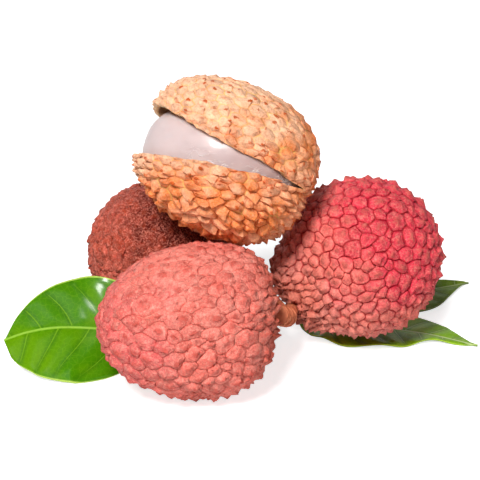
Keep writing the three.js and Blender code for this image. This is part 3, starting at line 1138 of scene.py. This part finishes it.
def fleshMaterial(form):
    made, tree, shader = surface(
        "flesh",
        0.42,
        Subsurface_Weight=0.5,
        Subsurface_Scale=1.0,
        Subsurface_Radius=(0.003, 0.002, 0.0018),
        Coat_Weight=0.14,
        Coat_Roughness=0.1,
    )
    place = ownPlace(tree)
    middle = middleOf("opened_flesh")
    # whiter at the far end, lilac towards the hinge
    across = dot(place, (1.0, 0.0, 0.0))
    fade = [middle.x + reach for reach in form["fade"]]
    tone = mixColour(ramp(across, *fade, kind="LINEAR"), form["farEnd"], form["hingeEnd"])
    share = ramp(cloudy(place, 110.0), 0.35, 0.65)
    tone = mixColour(times(share, 0.3), tone, form["cloud"])
    film = cloudy(scaled(place, (0.55, 1.0, 1.6)), 420.0, 3.0, distortion=1.4)
    creaseAndPaintedGlint = ramp(absolute(minus(film, 0.5)), 0.0, 0.035, 1.0, 0.0)
    # the film is folded, and painted with glints along the folds, only in a band above the cup's rim
    height = dot(place, (form["rimSlope"], 0.0, 1.0))
    rim = form["rimSlope"] * middle.x + middle.z + form["rimAbove"] * mm
    band = ramp(height, *[rim + reach for reach in form["bandEnds"]], 1.0, 0.0)
    band = times(band, ramp(across, *[middle.x + reach for reach in form["bandFrom"]]))
    band = times(band, ramp(cloudy(place, 160.0), 0.38, 0.5))
    creaseAndPaintedGlint = times(creaseAndPaintedGlint, band)
    # painted highlight: the folds are lightened almost to white, as wet glints
    tone = mixColour(times(creaseAndPaintedGlint, 0.7), tone, form["creaseAndPaintedGlint"])
    link(shader.inputs["Base Color"], tone)
    bumpBy(shader, creaseAndPaintedGlint, 0.6, 0.2 * mm)
    return made


def openedFlesh(node, fruit, form, split):
    values = {
        **bodyValues(fruit),
        "Depth": (split["wallDepth"] + form["gap"]) * mm,
        "Fuller": split["thinning"] * mm,
        "Crinkle": form["crinkle"],
        "Fineness": form["fineness"],
        "Material": fleshMaterial(form),
    }
    piece = grow("openedFlesh", fleshTree(lycheeBody), values)
    piece.data.transform(fruitPlace(fruit))
    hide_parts(node)
    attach(piece, "root")


openedFlesh("opened_flesh", openedFruit, fleshForm, peelSplit)
print("flesh made")

# the leaves

leaves = {
    "leaf_left": {
        "name": "leftLeaf",
        "midrib": [
            (2.2, -12.8, 10.2),
            (-5.5, -18.2, 6.6),
            (-13.5, -22.8, 5.2),
            (-20, -25.4, 6.4),
            (-28, -28.4, 7.9),
            (-38, -29.2, 8.475),
            (-44, -29.8, 7.7),
            (-48.7, -31.0, 6.55),
        ],
        "faces": ((0, -1, 0.1), (0.18, -0.641, 0.643)),
        "halfWidth": (10.975, 12.1),
        "stalkShare": 0.31,
        "widest": 0.557,
        "taper": (1.1, 1.2, 0.34),
        "fold": 0.07,
        "ripple": (0.3, 2.5, 0.4),
        "veins": 6.4,
        "bulge": 0.24,
        "slot": "leaf_glossy",
        "look": {
            "Blade": colour(66, 126, 0),
            "Patch": colour(94, 144, 2),
            "Deep": colour(48, 102, 0),
            "Vein": colour(116, 166, 28),
            "Midrib": colour(140, 186, 56),
            "Rim": colour(176, 206, 88),
            "Under": colour(120, 158, 62),
            "Vein Width": 0.22,
        },
        "gloss": {
            "roughness": 0.4,
            "specular": 0.04,
            "coat": 0.7,
            "tipCoat": 0.0,
            "coatRoughness": 0.2,
            "bump": 0.25,
        },
    },
    "leaf_front_right": {
        "name": "frontRightLeaf",
        "midrib": [
            (4.4, -8.6, 10.2),
            (6.6, -7.8, 5.2),
            (12, -5.6, 1.2),
            (20, -7.95, 0.3),
            (30, -12.35, 0.3),
            (40.5, -15.8, 0.4),
            (50.9, -21.75, 0.6),
        ],
        "faces": ((0, 0, 1), (0.225, 0, 1)),
        "halfWidth": (11.3, 10.55),
        "stalkShare": 0.2,
        "widest": 0.367,
        "taper": (1.0, 1.9, 1.15),
        "fold": -0.02,
        "ripple": (0.5, 4, 0.6),
        "veins": 5.5,
        "bulge": 0.22,
        "slot": "leaf_pale",
        "look": {
            "Blade": colour(106, 152, 0),
            "Patch": colour(132, 168, 40),
            "Deep": colour(56, 98, 4),
            "Vein": colour(164, 190, 96),
            "Midrib": colour(186, 206, 140),
            "Rim": colour(178, 214, 60),
            "Under": colour(132, 164, 76),
            "Vein Width": 0.2,
        },
        "gloss": {
            "roughness": 0.42,
            "specular": 0.05,
            "coat": 0.05,
            "tipCoat": 0.2,
            "coatRoughness": 0.25,
            "bump": 0.35,
        },
    },
    "leaf_back_right": {
        "name": "backRightLeaf",
        "midrib": [
            (-0.3, 6.2, 9.0),
            (4.5, 7.0, 4.2),
            (13, 4.6, 2.7),
            (26, 3.2, 1.8),
            (37, 4.2, 1.2),
            (46, 7.65, 0.6),
            (54.2, 11.2, 0.4),
        ],
        "faces": ((0, 0, 1), (0.037, 0, 1)),
        "halfWidth": (11.6, 7.8),
        "stalkShare": 0.2,
        "widest": 0.5,
        "taper": (0.9, 1.5, 1.1),
        "fold": 0.03,
        "ripple": (0.4, 2, 2.6),
        "veins": 5.5,
        "bulge": 0.22,
        # painted shade: this leaf's greens are darkened and greyed as shade, on top of its duller
        # finish
        "slot": "leaf_dull",
        "look": {
            "Blade": colour(88, 113, 16),
            "Patch": colour(108, 128, 34),
            "Deep": colour(48, 68, 14),
            "Vein": colour(134, 148, 96),
            "Midrib": colour(146, 160, 104),
            "Rim": colour(140, 158, 92),
            "Under": colour(118, 134, 84),
            "Vein Width": 0.2,
        },
        "gloss": {
            "roughness": 0.5,
            "specular": 0.05,
            "coat": 0.0,
            "tipCoat": 0.08,
            "coatRoughness": 0.25,
            "bump": 0.3,
        },
    },
}


stepsToAPoint = 80


def smoothCurve(points, count):
    # evenly spaced points of a centripetal curve, and the directions along it
    points = np.array(points, float)
    ends = (2 * points[0] - points[1], 2 * points[-1] - points[-2])
    padded = np.vstack([ends[0], points, ends[1]])
    line = []
    for before, start, end, after in zip(padded, padded[1:], padded[2:], padded[3:]):
        gaps = [
            math.sqrt(np.linalg.norm(b - a))
            for a, b in ((before, start), (start, end), (end, after))
        ]
        leaving = (start - before) / gaps[0] - (end - before) / (gaps[0] + gaps[1])
        leaving = (leaving + (end - start) / gaps[1]) * gaps[1]
        arriving = (end - start) / gaps[1] - (after - start) / (gaps[1] + gaps[2])
        arriving = (arriving + (after - end) / gaps[2]) * gaps[1]
        share = np.linspace(0, 1, stepsToAPoint, endpoint=False)[:, None]
        bend = 3 * (end - start) - 2 * leaving - arriving
        twist = 2 * (start - end) + leaving + arriving
        line.append(start + leaving * share + bend * share**2 + twist * share**3)
    line = np.vstack([*line, points[-1:]])
    steps = np.linalg.norm(np.diff(line, axis=0), axis=1)
    travelled = np.concatenate([[0], np.cumsum(steps)])
    even = np.linspace(0, travelled[-1], count)
    spaced = np.column_stack([np.interp(even, travelled, line[:, axis]) for axis in range(3)])
    along = np.gradient(spaced, axis=0)
    return spaced, along / np.linalg.norm(along, axis=1)[:, None], travelled[-1]


def smoothStep(value, low, high):
    share = np.clip((value - low) / (high - low), 0, 1)
    return share * share * (3 - 2 * share)


leafForm = {
    "rows": 170,
    "columns": 64,
    "stalk": 0.7,  # half the width of the stalk
    "stalkThickness": 1.4,
    "bladeThickness": 0.5,
    "thinRim": 0.55,  # how much thinner the blade is at its rim
    "turning": 1.6,  # how soon the blade faces the way that its tip does
    "sweep": (0.42, 0.032),  # how the side veins bend towards the tip
    "shift": 0.45,  # between the veins of the two sides, as a share of their spacing
    "channel": 0.18,
    "channelWidth": 0.5,
    "narrowest": 0.12,
    "pores": 0.12 * mm,
}


def bladeWidth(leaf, half, share):
    towardsTip = share > leaf["widest"]
    reach = np.where(towardsTip, 1 - leaf["widest"], leaf["widest"])
    fromWidest = np.minimum(1, np.abs(share - leaf["widest"]) / reach)
    taper = np.where(towardsTip, leaf["taper"][1 + half], leaf["taper"][0])
    width = leaf["halfWidth"][half] * (1 - fromWidest**2) ** taper
    return np.maximum(leafForm["narrowest"], width)


def leafGrid(leaf, form):
    # the upper and lower face of a leaf as grids of points, and where each point lies on the blade
    rows, columns = form["rows"], form["columns"]
    line, along, length = smoothCurve(leaf["midrib"], rows)
    share = np.linspace(0, 1, rows)
    blade = np.maximum(0, (share - leaf["stalkShare"]) / (1 - leaf["stalkShare"]))
    opening = smoothStep(blade, 0, 0.08)
    y = np.sin(np.linspace(-0.5, 0.5, columns + 1) * math.pi)
    y = np.sign(y) * (0.35 * np.abs(y) + 0.65 * np.abs(np.linspace(-1, 1, columns + 1)))
    stalk = form["stalk"]
    widths = [stalk + (bladeWidth(leaf, half, blade) - stalk) * opening for half in (0, 1)]
    facing = np.array(leaf["faces"][0]) + np.outer(
        np.minimum(1, form["turning"] * blade), np.subtract(leaf["faces"][1], leaf["faces"][0])
    )
    side = np.cross(facing, along)
    side /= np.linalg.norm(side, axis=1)[:, None]
    up = np.cross(along, side)
    away = np.where(y < 0, widths[0][:, None], widths[1][:, None]) * y  # mm from the midrib
    rise, waves, start = leaf["ripple"]
    ripple = rise * np.sin(2 * math.pi * waves * blade + start)[:, None] * y**2
    lift = leaf["fold"] * np.abs(away) + ripple * opening[:, None]
    # veins leave the midrib in turn on either side and sweep towards the tip
    travelled = (share * length)[:, None]
    outwards = np.abs(away)
    sweep = form["sweep"][0] * outwards + form["sweep"][1] * outwards**2
    course = (travelled - sweep) / leaf["veins"] + np.where(y < 0, form["shift"], 0.0)
    between = 0.5 - 0.5 * np.cos(2 * math.pi * course)
    fade = smoothStep(outwards, 0.3, 2.2) * (1 - smoothStep(np.abs(y), 0.75, 1.0))
    bulge = leaf["bulge"] * between * fade * opening[:, None]
    channel = -form["channel"] * np.exp(-((away / form["channelWidth"]) ** 2)) * opening[:, None]
    points = line[:, None] + side[:, None] * away[..., None] + up[:, None] * lift[..., None]
    ridge = form["stalkThickness"] * np.sqrt(1 - 0.8 * y**2)
    veined = form["bladeThickness"] * (1 + 0.5 * (1 - blade[:, None]) * (1 - np.abs(y)) ** 4)
    thick = ridge + (veined - ridge) * opening[:, None]
    thick = thick * (1 - form["thinRim"] * smoothStep(np.abs(y), 0.9, 1.0) * opening[:, None])
    points[..., 2] = np.maximum(points[..., 2], 0.5 * thick)
    upward = np.broadcast_to(up[:, None], points.shape)
    top = points + upward * (0.5 * thick + bulge + channel)[..., None]
    bottom = points - upward * (0.5 * thick)[..., None]
    return top, bottom, course, away, np.broadcast_to(y, away.shape), blade


def leafColourTree():
    # course counts the side veins, away is the distance from the midrib in mm, edge runs to 1
    tree, given, result = newTree(
        "leafColours",
        "ShaderNodeTree",
        {
            "Vector": ("Place",),
            "Float": ("Course", "Away", "Edge", "Face", "Vein Width"),
            "Color": ("Blade", "Patch", "Deep", "Vein", "Midrib", "Rim", "Under"),
        },
        {"Color": ("Colour",), "Float": ("Height",)},
    )
    place, edge = given["Place"], given["Edge"]
    patches, pores, veinlets = 90.0, 1500.0, 900.0
    wide = cloudy(place, patches)
    fine = cloudy(place, pores)
    tone = mixColour(ramp(wide, 0.4, 0.66), given["Blade"], given["Patch"])
    # darker beside each vein, paler on the swell between two
    fromVein = times(absolute(minus(calc("FRACT", given["Course"]), 0.5)), 2.0)
    tone = mixColour(times(ramp(fromVein, 0.55, 1.0), 0.55), tone, given["Deep"])
    # the veins thin out and fade towards the rim
    outwards = absolute(given["Away"])
    thinning = ramp(outwards, 1.0, 10.0, 1.0, 0.3, "LINEAR")
    width = times(given["Vein Width"], times(thinning, 0.4))
    vein = ramp(fromVein, minus(1.0, width), 1.0)
    vein = times(vein, ramp(edge, 0.7, 0.96, 1.0, 0.0))
    tone = mixColour(times(vein, 0.75), tone, given["Vein"])
    values = {"Vector": place, "Scale": veinlets}
    net = addNode(tree, "ShaderNodeTexVoronoi", values, feature="DISTANCE_TO_EDGE")
    net = ramp(net.outputs["Distance"], 0.0, 0.09, 1.0, 0.0)
    tone = mixColour(times(net, 0.22), tone, given["Vein"])
    tone = mixColour(ramp(outwards, 0.08, 0.36, 1.0, 0.0), tone, given["Midrib"])
    tone = mixColour(ramp(edge, 0.955, 0.985), tone, given["Rim"])
    tone = scaled(tone, timesPlus(minus(fine, 0.5), 0.25, 1.0))
    under = mixColour(times(vein, 0.5), given["Under"], given["Midrib"])
    link(result["Colour"], mixColour(minus(1.0, given["Face"]), tone, under))
    height = timesPlus(wide, 1.5, times(fine, 0.25))
    link(result["Height"], timesPlus(vein, -0.9, height))
    return tree


leafColours = leafColourTree()


def leafMaterial(name, look, gloss):
    made, tree, shader = surface(
        name,
        gloss["roughness"],
        Specular_IOR_Level=gloss["specular"],
        Coat_Roughness=gloss["coatRoughness"],
    )
    values = {
        "Course": attributeOf(tree, "course"),
        "Away": attributeOf(tree, "away"),
        "Edge": attributeOf(tree, "edge"),
        "Face": attributeOf(tree, "upper"),
        "Place": ownPlace(tree),
        **look,
    }
    looks = useGroup(tree, leafColours, values)
    link(shader.inputs["Base Color"], looks["Colour"])
    waxed = ramp(attributeOf(tree, "reach"), 0.4, 0.62, gloss["coat"], gloss["tipCoat"])
    link(shader.inputs["Coat Weight"], waxed)
    bumpBy(shader, looks["Height"], gloss["bump"], leafForm["pores"])
    return made


def gridFaces(rows, columns, start, turned):
    index = np.arange(rows * columns).reshape(rows, columns) + start
    corners = (index[:-1, :-1], index[1:, :-1], index[1:, 1:], index[:-1, 1:])
    faces = np.stack(corners, axis=-1).reshape(-1, 4)
    return faces[:, ::-1] if turned else faces


def growLeaf(node, leaf):
    top, bottom, course, away, y, blade = leafGrid(leaf, leafForm)
    rows, columns = away.shape
    count = rows * columns
    points = np.vstack([top.reshape(-1, 3), bottom.reshape(-1, 3)]) * mm + np.array(bunchOrigin)
    index = np.arange(count).reshape(rows, columns)
    ring = np.concatenate([index[0], index[1:, -1], index[-1, -2::-1], index[-2:0:-1, 0]])
    after = np.roll(ring, -1)
    rim = np.stack([ring, ring + count, after + count, after], axis=-1)
    upper = gridFaces(rows, columns, 0, False)
    lower = gridFaces(rows, columns, count, True)
    mesh = bpy.data.meshes.new(leaf["name"])
    mesh.from_pydata(points.tolist(), [], np.vstack([upper, lower, rim]).tolist())
    for label, value in (
        ("course", np.tile(course.ravel(), 2)),
        ("away", np.tile(away.ravel(), 2)),
        ("edge", np.tile(np.abs(y).ravel(), 2)),
        ("upper", np.repeat([1.0, 0.0], count)),
        ("reach", np.tile(np.repeat(blade, columns), 2)),
    ):
        mesh.attributes.new(label, "FLOAT", "POINT").data.foreach_set("value", value)
    build = bmesh.new()
    build.from_mesh(mesh)
    bmesh.ops.recalc_face_normals(build, faces=build.faces)
    build.to_mesh(mesh)
    build.free()
    mesh.shade_smooth()
    mesh.materials.append(leafMaterial(leaf["slot"], leaf["look"], leaf["gloss"]))
    piece = addObject(leaf["name"], mesh)
    settle(mesh, node, pressed=False)
    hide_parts(node)
    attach(piece, "root")


for node, leaf in leaves.items():
    growLeaf(node, leaf)
print("leaves made")

# the twig

twigForm = {
    "fork": (9.6, -30.4, 11.6),
    "middle": (2.3, -6.2, 12.1),
    "rearFork": (-1.2, 1.5, 11.4),
    "dip": [(5.4, -20, 12.2), (3, -12, 12.0)],  # between the fork and the middle
    "stub": [(-1.4, 8, 11.0), (-2.2, 14, 10.4)],  # behind the rear fork
    "climb": [(-1.2, 3, 16.8), (4.4, 1.4, 24.8), (11, -4, 31.2), (12.4, -9, 34.6)],
    "radii": {"toRight": (1.7, 1.45), "main": (1.5, 1.4), "rear": (1.45, 1.65), "thin": (1.25, 1.0)},
    "ringedRadius": 2.05,
    "ringSwell": 0.16,
    "swells": 10,  # half waves along the ringed stretch
    "voxel": 0.12 * mm,
    "bark": 0.07 * mm,  # how rough the bark is, and how fine its grain
    "grains": (700, 1700),
    "rings": 12,
    "ringReach": 3.2 * mm,
    "ringDepth": 0.22 * mm,
    "ringSpan": (-0.1, 1.25),  # from the front fruit to a little past the fork
    "ringWaver": 260,
}


def stemPole(fruit):
    # where the middle of the stem's dimple is, in the layout of the bunch
    stem = inFruit(fruit, fruit["stem"])
    fullness = fruit["fullness"]
    swell = sum(abs(part) ** fullness for part in stem) ** (-1 / fullness)
    girth = swell * (1 + fruit["shoulders"] * stem.z)
    half = Vector(fruit["half"])
    reach = [half.x * girth, half.y * girth, half.z * swell]
    pole = Vector([part * way for part, way in zip(stem, reach)]) - stemDimple["depth"] * stem
    return fruitTurn(fruit) @ pole + Vector(fruit["centre"])


def tube(build, points, radiusAt, sides=14, ringsToAPoint=20):
    line, along, _ = smoothCurve(points, ringsToAPoint * len(points))
    turns = [2 * math.pi * k / sides for k in range(sides)]
    acrossAll = Vector((0.2, 0.1, 1))  # in line with no branch
    rings = []
    for step, (place, ahead) in enumerate(zip(line, along)):
        ahead = Vector(ahead)
        side = ahead.cross(acrossAll).normalized()
        other = side.cross(ahead)
        radius = radiusAt(step / (len(line) - 1))
        spokes = [math.cos(turn) * side + math.sin(turn) * other for turn in turns]
        rings.append([build.verts.new(Vector(place) + radius * spoke) for spoke in spokes])
    for before, after in zip(rings, rings[1:]):
        for k in range(sides):
            j = (k + 1) % sides
            build.faces.new((before[k], before[j], after[j], after[k]))
    build.faces.new(rings[0][::-1])
    build.faces.new(rings[-1])


def barkMaterial():
    made, tree, shader = surface("bark", 0.78, Specular_IOR_Level=0.3)
    place = ownPlace(tree)
    rings = attributeOf(tree, "ring")
    rough = cloudy(place, 900.0, 5.0, 0.7)
    tone = mixColour(ramp(rough, 0.3, 0.7), colour(188, 92, 56), colour(248, 158, 114))
    tone = mixColour(ramp(cloudy(place, 220.0), 0.45, 0.65), tone, colour(206, 116, 82))
    tone = mixColour(times(rings, 0.7), tone, colour(126, 58, 34))
    link(shader.inputs["Base Color"], tone)
    bumpBy(shader, timesPlus(rings, -0.6, rough), 0.6, 0.15 * mm)
    return made


def roughen(mesh, form, start, end):
    # bark grain, and the rings round the thick stretch between two of the fruits
    start, end = (Vector(bunchOrigin) + Vector(place) * mm for place in (start, end))
    axis = end - start
    coarse, fine = form["grains"]
    first, last = form["ringSpan"]
    rings = []
    points = [vert.co.copy() for vert in mesh.vertices]
    normals = [vert.normal.copy() for vert in mesh.vertices]
    for index, (place, outward) in enumerate(zip(points, normals)):
        grain = noise.noise(place * coarse) + 0.6 * noise.noise(place * fine)
        away = place - start
        share = away.dot(axis) / axis.length_squared
        near = (away - axis * share).length < form["ringReach"] and first < share < last
        turn = share * form["rings"] + 0.25 * noise.noise(place * form["ringWaver"])
        ring = 0.5 - 0.5 * math.cos(2 * math.pi * turn) if near else 0.5 + 0.5 * grain
        rings.append(ring**3)
        sunk = form["ringDepth"] * ring**3 if near else 0.0
        points[index] = place + outward * (form["bark"] * grain - sunk)
    setPoints(mesh, np.array(points))
    mesh.attributes.new("ring", "FLOAT", "POINT").data.foreach_set("value", rings)


def twigBranches(form):
    # the points of each branch, and its radius from one end to the other
    front, right = stemPole(frontFruit), stemPole(rightFruit)
    back, opened = stemPole(backFruit), stemPole(openedFruit)
    fork, middle, rearFork, radii = (form[key] for key in ("fork", "middle", "rearFork", "radii"))

    def ringed(share):
        return form["ringedRadius"] + form["ringSwell"] * math.cos(share * form["swells"] * math.pi)

    def thinning(start, end):
        return lambda share: start + (end - start) * share

    return [
        ([front, fork], ringed),
        ([fork, right], thinning(*radii["toRight"])),
        ([fork, *form["dip"], middle], thinning(*radii["main"])),
        ([middle, rearFork, *form["stub"]], thinning(*radii["rear"])),
        ([middle, back], thinning(*radii["thin"])),
        ([rearFork, *form["climb"], opened], thinning(*radii["thin"])),
    ]


def growTwig(form):
    build = bmesh.new()
    for points, radiusAt in twigBranches(form):
        tube(build, points, radiusAt)
    build.transform(Matrix.Translation(bunchOrigin) @ Matrix.Scale(mm, 4))
    mesh = bpy.data.meshes.new("twig")
    build.to_mesh(mesh)
    build.free()
    holder = addObject("twigTubes", mesh)
    joined = holder.modifiers.new("joined", "REMESH")
    joined.mode = "VOXEL"
    joined.voxel_size = form["voxel"]
    softened = holder.modifiers.new("softened", "SMOOTH")
    softened.iterations = 3
    grown = meshWithModifiers(holder)
    roughen(grown, form, stemPole(frontFruit), form["fork"])
    grown.materials.clear()
    grown.materials.append(barkMaterial())
    grown.shade_smooth()
    piece = addObject("woodyTwig", grown)
    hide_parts("twig")
    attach(piece, "root")


growTwig(twigForm)
print("twig made")

# floor, light and backdrop

studio = {
    "key": {"from": (-0.15, -0.5, 0.57), "size": 0.22, "power": 6.5},
    "fill": {"from": (0.4, -0.7, 0.3), "size": 0.5, "power": 0.6},
    "back": {"from": (-0.2, 0.7, 0.42), "size": 0.5, "power": 1.3},
    "sky": 0.045,
    "floor": colour(232, 232, 232),
    "floorReach": 3.0,
    "floorDrop": 0.02 * mm,
    "whitens": (0.3, 1.4),  # where the floor runs into the white behind it
    "glow": (0.72, 1.0),
}


def areaLight(name, setup, target):
    data = bpy.data.lights.new(name, "AREA")
    data.shape = "DISK"
    data.size = setup["size"]
    data.energy = setup["power"]
    lamp = addObject(name, data)
    lamp.location = target + Vector(setup["from"])
    lamp.rotation_euler = (-Vector(setup["from"])).to_track_quat("-Z", "Y").to_euler()


def whereCameraSees(tree, output, hidden, seen):
    # the second shader where a surface is looked at directly, in a reflection or through glass
    path = addNode(tree, "ShaderNodeLightPath").outputs
    looked = calc("MAXIMUM", path["Is Camera Ray"], path["Is Glossy Ray"])
    looked = calc("MAXIMUM", looked, path["Is Transmission Ray"])
    chosen = addNode(tree, "ShaderNodeMixShader", {0: looked, 1: hidden, 2: seen})
    link(tree.nodes.new(output).inputs[0], chosen.outputs[0])


def layFloor():
    mesh = bpy.data.meshes.new("floor")
    reach = studio["floorReach"]
    corners = [(-reach, -reach, 0), (reach, -reach, 0), (reach, reach, 0), (-reach, reach, 0)]
    mesh.from_pydata(corners, [], [(0, 1, 2, 3)])
    floor = addObject("floor", mesh)
    floor.location.z = -studio["floorDrop"]
    made = bpy.data.materials.new("paleFloor")
    made.use_nodes = True
    tree = made.node_tree
    tree.nodes.clear()
    matt = addNode(tree, "ShaderNodeBsdfDiffuse", {"Color": studio["floor"]}).outputs[0]
    strength = ramp(vectorCalc("LENGTH", ownPlace(tree)), *studio["whitens"], *studio["glow"])
    glow = addNode(tree, "ShaderNodeEmission", {"Color": (1, 1, 1, 1), "Strength": strength})
    both = addNode(tree, "ShaderNodeAddShader", {0: matt, 1: glow.outputs[0]}).outputs[0]
    whereCameraSees(tree, "ShaderNodeOutputMaterial", matt, both)
    mesh.materials.append(made)


def lightWorld():
    world = bpy.data.worlds.new("studio")
    world.use_nodes = True
    tree = world.node_tree
    tree.nodes.clear()
    dim = addNode(tree, "ShaderNodeBackground", {"Strength": studio["sky"]}).outputs[0]
    whiteness = {"Color": (1, 1, 1, 1), "Strength": 1.0}
    white = addNode(tree, "ShaderNodeBackground", whiteness).outputs[0]
    whereCameraSees(tree, "ShaderNodeOutputWorld", dim, white)
    bpy.context.scene.world = world


layFloor()
lightWorld()
for lamp in ("key", "fill", "back"):
    areaLight(lamp + "Light", studio[lamp], bunchOrigin)
print("studio made")

# the scene is brought up to date

bpy.context.view_layer.update()
